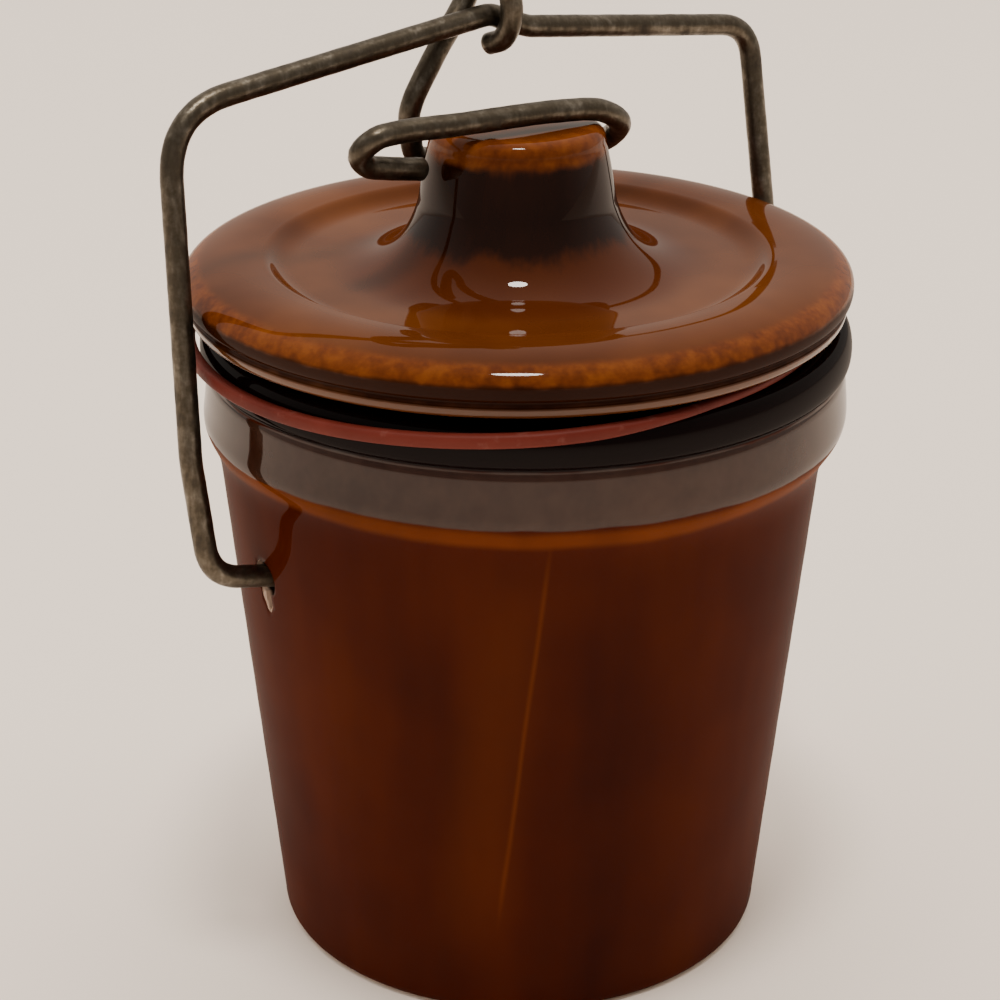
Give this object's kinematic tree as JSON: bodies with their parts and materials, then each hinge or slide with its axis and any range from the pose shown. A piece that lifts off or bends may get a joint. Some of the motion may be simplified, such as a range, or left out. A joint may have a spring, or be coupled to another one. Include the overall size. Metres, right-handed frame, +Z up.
{
  "type": "stoneware bail crock",
  "caption": "Small glazed stoneware food crock with a knobbed lid on a rubber ring, held shut by a hinged wire bail with a clamp that hooks over the knob.",
  "frame": {"origin": "centre of the crock's flat foot", "axes": "+Z up along the crock's axis, X along the bail's pivot, +Y to the back, where the bail swings down"},
  "size_m": [0.1004, 0.0918, 0.1376],
  "materials": {
    "crock_glaze": "glossy dark brown glaze, breaking to amber where it is thin",
    "lid_glaze": "glossy brown glaze, amber at the rolled edge and the knob's edge",
    "ring_rubber": "aged red rubber",
    "wire": "worn, mottled steel wire"
  },
  "bodies": {
    "root": {"crock": "crock_glaze", "lid": "lid_glaze", "sealing_ring": "ring_rubber"},
    "bail": {"bail": "wire"},
    "clamp": {"clamp": "wire"}
  },
  "joints": [
    {"name": "bail_swing", "type": "hinge", "parent": "root", "child": "bail", "pos_m": [0, 0, 0.0608], "axis": [-1, 0, 0], "range_deg": [0, 95]},
    {"name": "clamp_tip", "type": "hinge", "parent": "bail", "child": "clamp", "pos_m": [0.003, 0.01279, 0.12982], "axis": [-1, 0, 0], "range_deg": [0, 155]}
  ],
  "couplings": [
    {"joint": "clamp_tip", "follows": "bail_swing", "ratio": 1.6}
  ]
}
